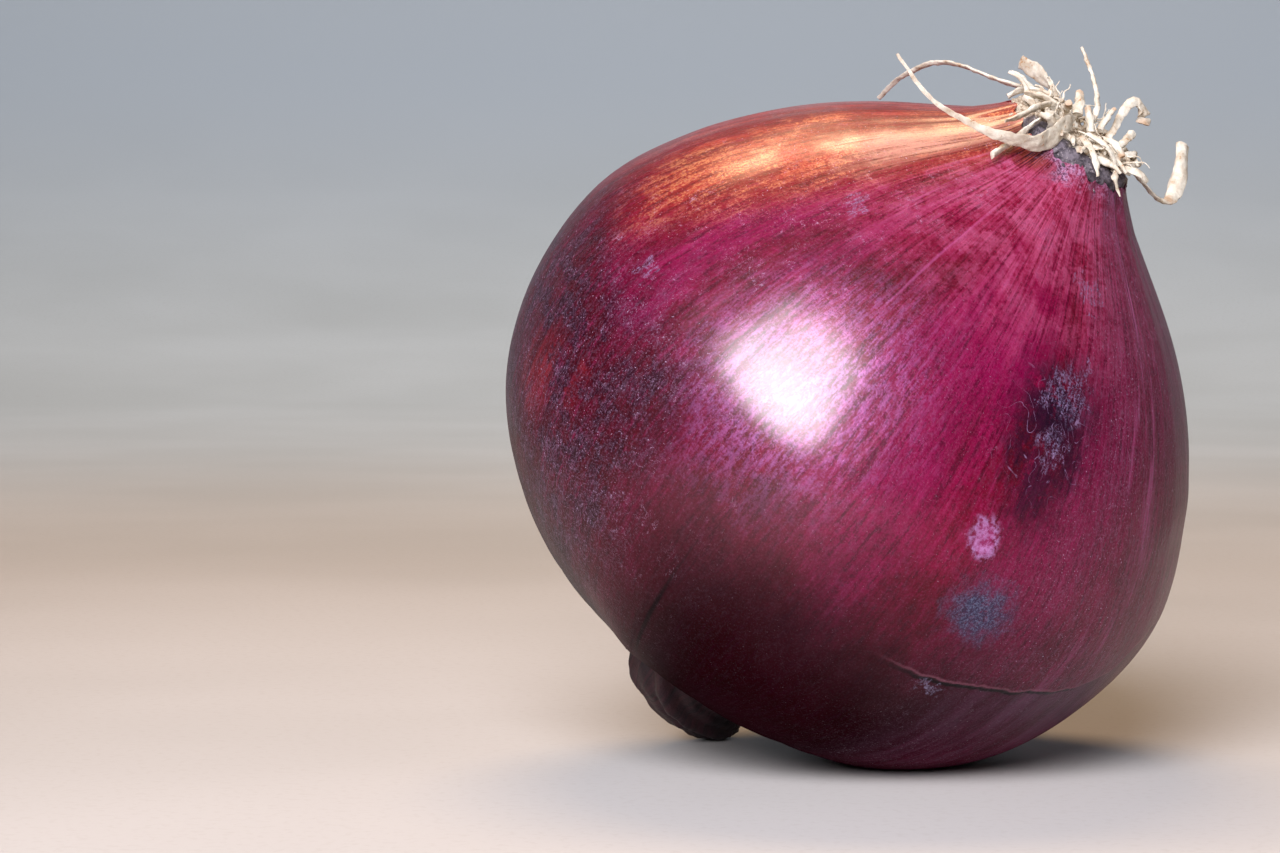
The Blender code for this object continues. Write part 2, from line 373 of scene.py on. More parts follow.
    # a painted peach highlight near the top edge
    painted_peach_highlight = (turn + strands * 14.0).band(54.0, 68.0, 6.0) * (z + puffs * 8.0).fade(27.0, 33.0)
    copper = look.mix(painted_peach_highlight * fibres.fade(0.3, 0.5) * 0.8, copper, ink(242, 196, 150))
    tone = look.mix(warm, tone, copper)

    # the right side, mauve and streaked
    right = (turn + clouds * 16.0).fade(138.0, 170.0) * turn.fade(268.0, 228.0)
    tone = look.mix(right * 0.55, tone, ink(112, 42, 66))
    pale_streaks = strands.fade(0.56, 0.70) * fibres.fade(0.42, 0.58)
    tone = look.mix(pale_streaks * (0.08 + right * 0.45 + crown * 0.3), tone, ink(190, 108, 146))

    # painted shade in the hollow behind the ragged lip, dark brown to orange
    hollow = look.spot(place, 74.0, 35.6, 3.6, 1.4, 0.0, 0.5)
    tone = look.mix(hollow * 0.85, tone, look.mix(fibres.fade(0.4, 0.6), ink(44, 12, 8), ink(150, 74, 30)))

    # towards the neck a darker crimson; then painted shade over the underside and the lower front, which go near black
    deep = (z + clouds * 16.0).fade(20.0, -4.0)
    tone = look.mix(deep * (1.0 - dark) * 0.5, tone, ink(92, 0, 16))
    low = (z + clouds * 12.0).fade(13.0, -5.0) * turn.fade(66.0, 104.0) * turn.fade(176.0, 142.0)
    low = low.math("MAXIMUM", low, (z + clouds * 8.0).fade(-12.0, -28.0))
    tone = look.mix(low * 0.93, tone, look.mix((z + clouds * 8.0).fade(-2.0, -14.0), ink(34, 1, 8), ink(10, 1, 2)))

    # fine strands and grain
    shade = fibres * 0.45 + threads * 0.35 + grain * 0.35 + grit * 0.3
    tone = look.mix(shade.fade(0.74, 0.58) * 0.55, tone, ink(36, 2, 16))
    tone = look.mix(shade.fade(0.74, 0.92) * 0.26 * (1.0 - low), tone, ink(192, 44, 108))

    # silvery dust, and painted grey sheen on the left side, the lower left and the right side
    dust_and_sheen_zone = dark * (0.24 + puffs.fade(0.36, 0.66) * 0.42) + right * 0.5 + 0.14
    dust_and_sheen_zone += (z + clouds * 14.0).fade(4.0, -12.0) * turn.band(-40.0, 89.0, 11.0) * 0.45
    dust = look.noise(exact, 7.0, 3.0, 0.8)
    dust_and_sheen = (dust * 0.6 + grit * 0.5).fade(0.54, 0.72) * 0.8 + flecks.fade(0.50, 0.75) * 0.35
    tone = look.mix(dust_and_sheen * dust_and_sheen_zone * (1.0 - low * 0.6), tone, ink(140, 124, 138))
    specks = look.noise(exact, 5.5, 1.0, 0.5).fade(0.72, 0.78) * (dark + warm + right + 0.3) * (1.0 - low * 0.7)
    tone = look.mix(specks * 0.7, tone, ink(222, 214, 224))
    ridge = look.noise(rough_place, 0.55, 1.0, 0.4, 1.2) - 0.5
    wisps = ridge.math("ABSOLUTE", ridge).fade(0.012, 0.002)
    wisps *= puffs.fade(0.46, 0.58) * grain.fade(0.42, 0.56) * (turn.band(-40.0, 95.0, 15.0) + right * 0.7)
    tone = look.mix(wisps * 0.5, tone, ink(206, 190, 204))

    # marks: a scar with a pale rim, grey mould, a bruise and its scuffs
    below = tear_away.fade(0.05, -0.15) * tear_share * turn.fade(138.0, 160.0)
    tone = look.mix(below * 0.6, tone, look.mix(strands.fade(0.4, 0.6), ink(58, 24, 42), ink(92, 62, 82)))
    # painted shadow: a dark line along the torn edge of the outer skin
    tone = look.mix((tear_away + grain * 0.5).band(-0.25, 0.20, 0.14) * tear_share * 0.9, tone, ink(14, 2, 6))
    tone = look.mix((tear_away + grain * 0.5).band(0.45, 0.62, 0.2) * tear_share * 0.45, tone, ink(190, 130, 140))
    # painted shadow: a dark line along the edge where one skin laps over another
    lap = look.spot(exact, 97.6, -19.5, 0.24, 8.5, 0.0, 0.6, 9.0)
    tone = look.mix(lap * 0.75, tone, ink(8, 1, 3))
    rim = look.spot(place, 132.7, 8.2, 1.7, 2.0, 20.0, 0.25)
    scar = look.spot(place, 132.7, 8.2, 1.2, 1.5, 20.0, 0.3)
    tone = look.mix(rim * grain.fade(0.40, 0.60) * 0.7, tone, ink(186, 158, 196))
    tone = look.mix(scar * 0.8, tone, look.mix((grain * 0.5 + puffs * 0.5).fade(0.4, 0.6), ink(150, 44, 96), ink(196, 142, 184)))
    mould = look.spot(rough_place, 138.9, 2.1, 3.1, 2.7, 0.0, 0.7)
    tone = look.mix(mould * (grain + puffs).fade(0.65, 1.0) * 0.85, tone, ink(46, 58, 78))
    tone = look.mix(mould * (grit * 0.5 + dust * 0.5).fade(0.44, 0.62) * 0.7, tone, ink(116, 140, 154))
    bruise = look.spot(rough_place, 136.5, 20.5, 4.4, 4.8, 0.0, 0.8)
    for angle, height, wide, tall in ((137.5, 14.5, 3.0, 4.0), (132.5, 17.0, 2.2, 3.4), (142.0, 18.0, 1.8, 5.0)):
        bruise = bruise.math("MAXIMUM", bruise, look.spot(rough_place, angle, height, wide, tall, 0.0, 0.7) * 0.8)
    tone = look.mix(bruise * (grain * 0.6 + puffs + strands * 0.4).fade(0.74, 1.02) * 0.92, tone, ink(24, 14, 34))
    scuffs = None
    for angle, height, wide, tall in ((139.0, 22.0, 2.4, 2.0), (138.0, 17.6, 1.6, 1.4),
                                      (140.7, 29.5, 1.6, 0.9), (133.0, 21.4, 0.4, 1.4),
                                      (143.0, 24.5, 0.4, 1.0), (61.0, 6.9, 1.2, 1.0),
                                      (141.4, -7.5, 1.6, 0.6), (72.0, 23.5, 1.6, 0.8)):
        one = look.spot(rough_place, angle, height, wide, tall)
        scuffs = one if scuffs is None else scuffs.math("MAXIMUM", scuffs, one)
    tone = look.mix(scuffs * (flecks * 0.4 + grit * 0.4 + dust * 0.4).fade(0.56, 0.74) * 0.75, tone, ink(148, 148, 170))
    ridge = look.noise(exact, 0.36, 0.0, 0.5, 0.9) * 4.0
    scratches = ridge.math("PINGPONG", ridge, 0.5).fade(0.03, 0.005) * look.spot(rough_place, 136.0, 18.5, 5.0, 6.0, 0.0, 0.6)
    tone = look.mix(scratches * grain.fade(0.40, 0.55) * 0.6, tone, ink(176, 160, 186))
    vein = look.spot(exact, 95.5, 23.5, 0.13, 10.0, 0.0, 0.7, 9.0)
    tone = look.mix(vein * fibres.fade(0.3, 0.6) * 0.32, tone, ink(206, 110, 160))

    height = flecks * 0.35 + fibres * 0.35 + grit * 0.3
    coarse_bump = look.bump(grain * 0.6 + strands * 0.4, 1.0, 0.00016)
    fine_bump = look.bump(height, 1.0, 0.00011, coarse_bump)
    gloss = 0.30 + grain * 0.14 + dark * 0.08 + low * 0.3
    shaded = (z + clouds * 10.0).fade(4.0, -13.0) * turn.fade(80.0, 112.0) * turn.fade(262.0, 222.0)
    shine = look.spot(exact, 94.0, 10.0, 15.0, 17.0, -20.0, 0.5, 16.0)
    coat = (0.28 + shine * 0.54 - grain * 0.2 + warm * clouds.fade(0.36, 0.56) * 0.4) * (1.0 - mould * 0.6) * (1.0 - bruise * 0.4)
    look.cover(shaded * 0.96, {"Base Color": tone, "Roughness": 0.9, "Specular IOR Level": 0.0})
    return look.finish(
        {"IOR": 1.22, "Coat Roughness": 0.24, "Coat IOR": 1.65},
        Base_Color=look.mix(1.0, tone, (0.66, 0.52, 0.68, 1.0), "MULTIPLY"),
        Metallic=satin_and_painted_halo * 0.55 + warm * painted_gold_glints * 0.6,
        Roughness=gloss,
        Coat_Weight=coat,
        Normal=fine_bump,
    )


def cork_look():
    """The plate that the roots grow from: grey, crumbly cork."""
    look = Look("basal_cork")
    place = look.plant_place()
    lumps = look.noise(place, 0.9, 4.0, 0.6)
    crumbs = look.noise(place, 3.2, 3.0, 0.7)
    pits = look.cells(place, 2.2)
    tone = look.mix(lumps.fade(0.35, 0.65), ink(58, 52, 60), ink(112, 104, 112))
    tone = look.mix(crumbs.fade(0.55, 0.7) * 0.7, tone, ink(176, 166, 168))
    tone = look.mix(pits.fade(0.25, 0.05) * 0.6, tone, ink(30, 24, 28))
    middle = look.vector("DISTANCE", place, (LEAN, 0.0, CROWN_END + 1.8), output=1)
    bed = look.mix(crumbs.fade(0.35, 0.6), ink(122, 100, 78), ink(196, 184, 164))
    up, near, out = look.parts(place)
    bare = (near * 0.75 - up * 0.66 + lumps * 4.0).fade(3.0, 4.8)
    tone = look.mix((middle + lumps * 2.0).fade(7.2, 5.4), tone, bed)
    tone = look.mix(1.0 - bare, tone, bed)
    bump = look.bump(lumps * 0.5 + crumbs * 0.5, 0.8, 0.0005)
    return look.finish({"Roughness": 0.9}, Base_Color=tone, Normal=bump)


def paper_look():
    """The dry neck: dark purple-brown folded paper skin."""
    look = Look("dry_neck_paper")
    place = look.plant_place()
    veins = look.noise(look.round_place(place, 9.0, 0.1), 1.0, 4.0, 0.6)
    clouds = look.noise(place, 0.5, 3.0, 0.6)
    grain = look.noise(place, 4.0, 3.0, 0.6)
    tone = look.mix(veins.fade(0.35, 0.65), ink(24, 7, 14), ink(56, 20, 30))
    tone = look.mix(clouds.fade(0.5, 0.75) * 0.5, tone, ink(62, 30, 28))
    tone = look.mix(grain.fade(0.6, 0.75) * 0.3, tone, ink(80, 54, 54))
    bump = look.bump(veins * 0.7 + grain * 0.3, 0.6, 0.0004)
    gloss = 0.55 + grain * 0.2
    return look.finish(Base_Color=tone, Roughness=gloss, Normal=bump)


BROWN_TIPS = (  # where the dried roots are brown, as (up, near, out, how far it reaches)
    (1.8, 3.3, 3.0, 1.1), (3.3, -2.4, 3.5, 0.9), (-2.2, -10.0, 3.6, 1.4), (0.8, 0.4, 3.4, 0.9),
    (-0.2, -4.4, 4.2, 0.8), (4.9, 1.4, 1.6, 0.9), (-5.7, 1.7, 2.1, 0.7), (-8.4, -12.9, -1.0, 1.0),
)


def root_look():
    """Dried roots: cream-white, furrowed along their length, with brown bends and tips."""
    look = Look("dried_root")
    place = look.plant_place()
    clouds = look.noise(place, 0.7, 3.0, 0.6)
    grain = look.noise(place, 3.5, 3.0, 0.65)
    fine = look.noise(place, 9.0, 2.0, 0.6)
    tone = look.mix(clouds.fade(0.35, 0.7), ink(218, 212, 196), ink(184, 170, 148))
    tone = look.mix(grain.fade(0.56, 0.72) * 0.5, tone, ink(168, 150, 128))
    tone = look.mix((clouds + grain).fade(1.16, 1.3) * 0.8, tone, ink(160, 112, 62))
    for up, near, out, size in BROWN_TIPS:
        away = look.vector("DISTANCE", place, CROWN_MIDDLE + Vector((up, near, out)), output=1)
        tone = look.mix((away + grain * 0.8 - 0.4).fade(size, size * 0.4) * 0.6, tone, ink(166, 122, 80))
    bump = look.bump(grain * 0.6 + fine * 0.4, 0.5, 0.0002)
    gloss = 0.6 + fine * 0.25
    return look.finish(Base_Color=tone, Roughness=gloss, Normal=bump)


# ---------------------------------------------------------------- modelling tools
def start_fresh():
    bpy.ops.object.select_all(action="DESELECT")


def pick(piece):
    """Makes this piece the only selected and active one."""
    start_fresh()
    piece.select_set(True)
    bpy.context.view_layer.objects.active = piece


def close_ring():
    """Draws the selected ring of edges together into one point."""
    bpy.ops.mesh.extrude_region_move(TRANSFORM_OT_translate={"value": (0.0, 0.0, 0.0)})
    bpy.ops.mesh.merge(type="CENTER")


def ring_shell(name, outline, sides, closed=True):
    """A ring drawn at the outline's first point and extruded, ring by ring, to its last."""
    start_fresh()
    (z, radius), *later = outline
    bpy.ops.mesh.primitive_circle_add(vertices=sides, radius=radius * MM, location=(0.0, 0.0, z * MM))
    shell = bpy.context.object
    shell.name = shell.data.name = name
    bpy.ops.object.transform_apply(location=True, rotation=True, scale=True)
    bpy.ops.object.mode_set(mode="EDIT")
    bpy.ops.mesh.select_all(action="SELECT")
    if closed:
        bpy.ops.mesh.duplicate()
        close_ring()
        bpy.ops.mesh.select_all(action="DESELECT")
        edit = bmesh.from_edit_mesh(shell.data)
        for edge in edit.edges:
            edge.select_set(not edge.link_faces)
        bmesh.update_edit_mesh(shell.data)
    for next_z, next_radius in later:
        move = (0.0, 0.0, (next_z - z) * MM)
        bpy.ops.mesh.extrude_region_move(TRANSFORM_OT_translate={"value": move})
        spread = next_radius / radius
        bpy.ops.transform.resize(value=(spread, spread, 1.0), center_override=(0.0, 0.0, next_z * MM))
        z, radius = next_z, next_radius
    if closed:
        close_ring()
    bpy.ops.mesh.select_all(action="SELECT")
    bpy.ops.mesh.remove_doubles(threshold=0.00001)
    bpy.ops.mesh.normals_make_consistent(inside=False)
    bpy.ops.object.mode_set(mode="OBJECT")
    return shell


def add_modifier(piece, kind, **settings):
    """Adds a modifier with these settings and applies it."""
    pick(piece)
    modifier = piece.modifiers.new(kind.lower(), kind)
    for key, value in settings.items():
        setattr(modifier, key, value)
    bpy.ops.object.modifier_apply(modifier=modifier.name)


def subdivide(piece, levels):
    add_modifier(piece, "SUBSURF", levels=levels, render_levels=levels)


def points_of(piece):
    """The piece's points in millimetres."""
    flat = np.empty(len(piece.data.vertices) * 3)
    piece.data.vertices.foreach_get("co", flat)
    return flat.reshape(-1, 3) / MM


def set_points(piece, points):
    piece.data.vertices.foreach_set("co", (points * MM).ravel())
    piece.data.update()


def place_piece(piece, look, slot, *nodes, sharp=50.0):
    """Turns a piece drawn in the plant's frame into its place and gives it its finish."""
    pick(piece)
    piece.matrix_world = PLACE
    bpy.ops.object.transform_apply(location=True, rotation=True, scale=True)
    settle_piece(piece, look, slot, *nodes, sharp=sharp)


def settle_piece(piece, look, slot, *nodes, sharp=50.0):
    pick(piece)
    bpy.ops.object.shade_smooth_by_angle(angle=math.radians(sharp))
    piece.data.materials.clear()
    piece.data.materials.append(look)
    if nodes:
        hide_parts(*nodes)
    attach(piece, "root")


def field(points, scale, seed=0.0):
    """Soft noise from -1 to 1 at each point, with features about 1/scale across."""
    shift = Vector((seed, seed * 1.7, -seed))
    return np.array([noise.noise(Vector(p) * scale + shift) for p in points])


def fade(value, low, high):
    part = np.clip((value - low) / (high - low), 0.0, 1.0)
    return part * part * (3.0 - 2.0 * part)


# ---------------------------------------------------------------- bulb
BULB_SIDES = 56
TEAR_HEIGHT = -4.0
TEAR = (  # the edge of the torn outer skin, as (degrees round the bulb, height along it)
    (100.0, -8.0), (127.0, -7.4), (138.7, -6.9), (147.2, -5.5), (156.9, -4.1), (163.4, -3.1),
    (170.0, -1.6), (174.6, -0.2), (178.2, 2.6), (184.0, 4.6), (200.0, 5.0), (215.0, 3.0),
    (235.0, -4.0), (280.0, -6.0), (460.0, -8.0),
)


def sculpt_bulb(points):
    x, y, z = points.T
    angle = np.degrees(np.arctan2(y, x))
    angle = np.where(angle < 0.0, angle + 360.0, angle)
    out = np.hypot(x, y)
    # rings crowd together where the skin is torn, and follow the tear
    knots = np.array(TEAR)
    tear = np.interp(angle, knots[:, 0], knots[:, 1])
    ring = np.stack([np.cos(np.radians(angle)), np.sin(np.radians(angle))], 1)
    ragged = field(np.column_stack([ring * 22.0, np.zeros(len(z))]), 1.0, 3.0)
    ragged += 0.6 * field(np.column_stack([ring * 60.0, np.zeros(len(z))]), 1.0, 5.0)
    torn = fade(angle, 128.0, 141.0) * fade(angle, 192.0, 176.0)
    tear = tear + 0.35 * ragged * torn
    away = z - TEAR_HEIGHT
    crowded = away * (1.0 - 0.72 * np.exp(-((away / 3.0) ** 2)))
    reach = 1.0 - fade(np.abs(away), 3.0, 27.0)
    new_z = TEAR_HEIGHT + crowded + (tear - TEAR_HEIGHT) * reach
    out = out + outline_radius(new_z) - outline_radius(z)
    z = new_z
    away = z - tear
    # meridians crowd together at the edge where one skin laps over another
    lap = 98.3 - fade(z, -12.0, -28.0) * 2.4
    lap_share = fade(z, -9.0, -13.0) * fade(z, -30.5, -28.0)
    aside = angle - lap
    angle = lap + aside * (1.0 - 0.7 * lap_share * np.exp(-((aside / 5.0) ** 2)))
    aside = angle - lap
    # heights of skin over the plain outline
    spoke = np.stack([np.cos(np.radians(angle)), np.sin(np.radians(angle))], 1)
    lift = 0.30 * field(np.column_stack([spoke * 1.6, z * 0.03]), 1.0, 1.0)
    lift += 0.07 * field(np.column_stack([spoke * 9.0, z * 0.02]), 1.0, 2.0)
    lift += 0.035 * field(np.column_stack([spoke * 22.0, z * 0.03]), 1.0, 4.0)
    crown = fade(z, 20.0, 34.0)
    lift += crown * 0.26 * field(np.column_stack([spoke * 4.0, z * 0.05]), 1.0, 6.0)
    lift += crown * 0.10 * field(np.column_stack([spoke * 11.0, z * 0.07]), 1.0, 7.0)
    neck = fade(z, -20.0, -29.5)
    lift += neck * 0.9 * field(np.column_stack([spoke * 4.0, z * 0.05]), 1.0, 8.0)
    lift += neck * 0.35 * field(np.column_stack([spoke * 9.0, z * 0.08]), 1.0, 9.0)
    # the torn edge stands up a little, and the skin under it lies lower
    below = fade(away, 0.06, -0.06)
    lift -= 0.17 * torn * below * fade(away, -26.0, -8.0)
    lift += 0.13 * torn * (1.0 - below) * np.exp(-np.maximum(away, 0.0) / 2.2)
    lift += 0.16 * lap_share * fade(aside, 0.12, -0.12) * np.exp(np.minimum(aside, 0.0) / 9.0)
    # a small round scar
    scar = np.hypot((angle - 132.7) * 0.62, z - 8.2)
    lift += 0.12 * np.exp(-(((scar - 1.9) / 0.5) ** 2)) - 0.14 * fade(scar, 1.6, 0.7)
    # an open slit close to the crown
    slit = np.hypot((angle - 158.0 + (z - 35.4) * -4.0) * 0.16 / 0.45, (z - 35.4) / 1.1)
    lift -= 0.7 * fade(slit, 1.1, 0.3)
    out = np.maximum(out + lift, 0.0)
    ends = fade(out, 1.0, 3.0)
    moved = np.column_stack([
        out * np.cos(np.radians(angle)) + lean(z), out * np.sin(np.radians(angle)), z
    ])
    moved = np.where(ends[:, None] > 0.0, moved, points + np.column_stack([lean(z), 0 * z, 0 * z]))
    return moved, {"tear_away": away, "tear_share": torn * fade(away, -24.0, -8.0)}


def add_bulb(look):
    outline = [tuple(p) for p in smooth(BULB_OUTLINE, 2)]
    bulb = ring_shell("red_onion_bulb", outline, BULB_SIDES)
    subdivide(bulb, 3)
    points, marks = sculpt_bulb(points_of(bulb))
    set_points(bulb, points)
    for name, values in marks.items():
        layer = bulb.data.attributes.new(name, "FLOAT", "POINT")
        layer.data.foreach_set("value", values)
    place_piece(bulb, look, "onion_skin", "bulb", sharp=60.0)
    points = points_of(bulb)
    points[:, 2] = np.maximum(points[:, 2], 0.0)
    set_points(bulb, points)


# ---------------------------------------------------------------- crown
def add_plate(look):
    outline = [(CROWN_END - 1.6, 5.9), (CROWN_END - 0.4, 7.0), (CROWN_END + 0.8, 7.3),
               (CROWN_END + 1.6, 6.6), (CROWN_END + 2.2, 4.6), (CROWN_END + 2.4, 2.0)]
    plate = ring_shell("corky_plate", outline, 36)
    subdivide(plate, 3)
    points = points_of(plate)
    away = points * (1.0, 1.0, 0.0)
    away /= np.maximum(np.linalg.norm(away, axis=1), 0.5)[:, None]
    rise = 0.42 * field(points, 0.55, 11.0) + 0.30 * field(points, 1.4, 12.0)
    rise += 0.16 * field(points, 3.2, 13.0)
    points += (away * 0.8 + (0.0, 0.0, 0.6)) * rise[:, None]
    points[:, 0] += LEAN
    set_points(plate, points)
    place_piece(plate, look, "basal_cork", "basal_plate")


def add_lip(look):
    """The ragged rim of dry skin that stands up round the plate."""
    outline = [(31.6, 13.6), (33.2, 11.7), (34.8, 9.75), (36.2, 8.1), (37.2, 7.3)]
    lip = ring_shell("skin_lip", outline, 64, closed=False)
    subdivide(lip, 2)
    points = points_of(lip)
    x, y, z = points.T
    angle = np.arctan2(y, x)
    out = np.hypot(x, y)
    spoke = np.column_stack([np.cos(angle), np.sin(angle)])
    top = fade(z, 32.5, 37.2)
    ragged = field(np.column_stack([spoke * 3.0, 0 * z]), 1.0, 21.0)
    ragged += 0.5 * field(np.column_stack([spoke * 8.0, 0 * z]), 1.0, 22.0)
    ragged += 0.16 * field(np.column_stack([spoke * 20.0, 0 * z]), 1.0, 23.0)
    z = z + top * (0.9 * ragged - 0.1)
    out = out - top * (ragged * 0.8 + 0.5)
    out += 0.10 * field(np.column_stack([spoke * 11.0, z * 0.07]), 1.0, 7.0)
    out += 0.26 * field(np.column_stack([spoke * 4.0, z * 0.05]), 1.0, 6.0)
    out += -0.35 + 0.8 * top + top * 0.5 * field(np.column_stack([spoke * 5.0, 0 * z]), 1.0, 24.0)
    set_points(lip, np.column_stack([out * spoke[:, 0] + lean(z), out * spoke[:, 1], z]))
    add_modifier(lip, "SOLIDIFY", thickness=0.16 * MM, offset=0.0)
    place_piece(lip, look, "onion_skin")


# ---------------------------------------------------------------- roots
# Each root: name, widths along it, how flat it is, its turn from start to tip in degrees, route.
# The route's points are (up, near, out) from the middle of the crown.
ROOTS = (
    ("front_ribbon", (0.5, 1.9, 2.4, 1.8, 1.3, 0.8, 0.5, 0.30), "ribbon", (80.0, 60.0),
     ((0.2, 3.6, 2.4), (0.0, 5.6, 1.6), (-0.3, 7.9, 0.1), (0.2, 10.1, -1.1), (1.8, 12.2, -1.9),
      (4.6, 13.7, -2.8), (9.5, 15.6, -3.4), (14.5, 17.8, -1.8))),
    ("front_strand", (0.7, 0.9, 0.7, 0.4), "flat", (60.0, 60.0),
     ((3.0, 4.2, 1.9), (3.3, 6.2, 1.1), (3.5, 8.2, -0.3), (3.8, 10.0, -1.3))),
    ("back_arch", (0.6, 0.75, 0.7, 0.6, 0.6, 0.55, 0.5), "flat", (20.0, 70.0),
     ((3.7, -1.4, 1.9), (6.5, -1.6, 0.9), (11.0, -1.6, -1.0), (15.8, -3.6, -2.8),
      (19.2, -5.4, -5.3), (21.4, -7.4, -9.0), (22.6, -9.6, -12.4))),
    ("upright_broad", (0.8, 1.1, 1.8, 1.6), "ribbon", (80.0, 85.0),
     ((5.0, -3.4, 1.4), (6.6, -4.0, 1.7), (8.6, -4.8, 1.8), (11.3, -5.6, 1.4))),
    ("upright_thin", (0.9, 0.7, 0.6, 0.55, 0.5, 0.4), "round", (0.0, 60.0),
     ((-0.3, -0.8, 1.9), (0.1, -1.0, 3.1), (1.2, -2.1, 4.2), (2.7, -3.0, 5.0),
      (4.8, -3.8, 6.0), (6.7, -4.5, 6.8))),
    ("hook", (0.8, 0.8, 1.0, 1.2, 1.5, 1.8, 1.5), "flat", (0.0, 90.0),
     ((-1.9, -3.0, 1.7), (-1.4, -4.6, 2.6), (-0.2, -7.1, 4.3), (0.0, -8.7, 5.3),
      (-0.7, -9.7, 5.2), (-1.5, -10.1, 4.6), (-1.9, -10.0, 3.9))),
    ("side_stub", (0.8, 0.8, 0.9, 0.9), "round", (0.0, 30.0),
     ((-3.7, -0.9, 1.8), (-3.8, -2.2, 2.4), (-3.5, -3.3, 3.0), (-3.2, -4.3, 3.5))),
    ("long_curl", (0.9, 0.8, 0.7, 0.8, 1.2, 1.6, 1.8, 1.6), "flat", (0.0, 40.0),
     ((-2.6, -4.8, 1.4), (-3.6, -6.2, 0.8), (-5.7, -8.5, -0.3), (-7.9, -11.1, -1.1),
      (-8.5, -12.7, -1.1), (-8.1, -14.4, -0.3), (-6.6, -16.3, 1.8), (-4.5, -18.3, 3.6))),
    ("hanging", (1.0, 1.0, 0.9, 0.8, 0.8, 0.35), "flat", (0.0, 30.0),
     ((-1.7, 2.8, 1.8), (-3.4, 3.2, 2.1), (-4.9, 3.3, 2.0), (-6.1, 3.2, 1.2),
      (-7.0, 3.2, 0.1), (-8.4, 3.0, -0.8))),
    ("under_stub", (0.7, 0.7, 0.9, 1.0), "flat", (60.0, 60.0),
     ((1.9, 6.2, 1.3), (2.1, 7.9, -0.6), (2.0, 9.4, -2.2), (1.9, 12.6, -4.2))),
    ("rim_curl", (0.8, 0.9, 0.9, 0.6), "flat", (30.0, 60.0),
     ((4.4, 0.3, 1.8), (5.9, 0.5, 1.4), (7.4, 0.8, 0.3), (7.9, 1.3, -1.0))),
    ("brown_stub", (0.9, 0.9, 0.7), "round", (0.0, 0.0),
     ((1.9, 1.5, 1.8), (2.0, 2.4, 2.5), (1.8, 3.3, 3.0))),
    ("top_stub", (1.1, 1.1, 0.8), "round", (0.0, 0.0),
     ((1.4, -0.5, 1.9), (2.3, -1.4, 2.9), (3.3, -2.4, 3.5))),
    ("middle_stub", (0.9, 0.9, 0.7), "round", (0.0, 0.0),
     ((-1.3, 1.0, 1.8), (-0.4, 0.8, 2.7), (0.8, 0.4, 3.4))),
    ("left_stub", (0.9, 1.0, 0.7), "flat", (40.0, 40.0),
     ((3.2, 2.2, 1.8), (4.7, 2.7, 1.6), (6.2, 3.0, 0.8))),
    ("inner_stub", (0.7, 0.7, 0.5), "round", (0.0, 0.0),
     ((-1.2, -1.5, 2.0), (-0.5, -3.0, 3.2), (-0.2, -4.4, 4.2))),
    ("low_curl", (0.8, 0.8, 0.8, 0.6), "round", (0.0, 40.0),
     ((-2.4, 0.9, 1.8), (-3.6, 1.2, 2.4), (-4.8, 1.5, 2.5), (-5.7, 1.7, 2.1))),
    ("near_curl", (0.7, 0.8, 0.8, 0.5), "flat", (0.0, 40.0),
     ((-1.9, 4.7, 1.5), (-3.4, 5.1, 1.4), (-4.8, 5.3, 0.7), (-5.9, 5.3, -0.3))),
)
FAR_ROOTS = (("root_far_1", -53.0, 4.0), ("root_far_2", -74.0, 3.2), ("root_far_3", -96.0, 4.5))
FLATNESS = {"round": 0.85, "flat": 0.5, "ribbon": 0.2}
ROOT_SIDES = 14
ROOT_STEPS = 6


def far_route(angle, reach):
    """A route that leaves the plate's rim and falls back over the shoulder of the bulb."""
    route = []
    for share in (0.0, 0.3, 0.65, 1.0):
        way = math.radians(angle + 14.0 * share**2)
        radius = 5.3 + reach * share
        route.append((radius * math.cos(way), radius * math.sin(way), 1.6 - 0.85 * reach * share**2))
    return route


def furrowed_profile(kind):
    """The cross-section of a dried root: an uneven flattened ring, a millimetre across."""
    data = bpy.data.curves.new("profile_" + kind, "CURVE")
    ring = data.splines.new("POLY")
    ring.points.add(ROOT_SIDES - 1)
    for index, point in enumerate(ring.points):
        way = math.tau * index / ROOT_SIDES
        out = 0.5 * MM * (1.0 + 0.10 * math.cos(3.0 * way + 0.6) + 0.08 * math.cos(5.0 * way))
        point.co = (out * math.cos(way), out * math.sin(way) * FLATNESS[kind], 0.0, 1.0)
    ring.use_cyclic_u = True
    made = bpy.data.objects.new("profile_" + kind, data)
    bpy.context.collection.objects.link(made)
    return made


def spread(values, share):
    """The value at this share of the way along an even list."""
    at = share * (len(values) - 1)
    return float(np.interp(at, range(len(values)), values))


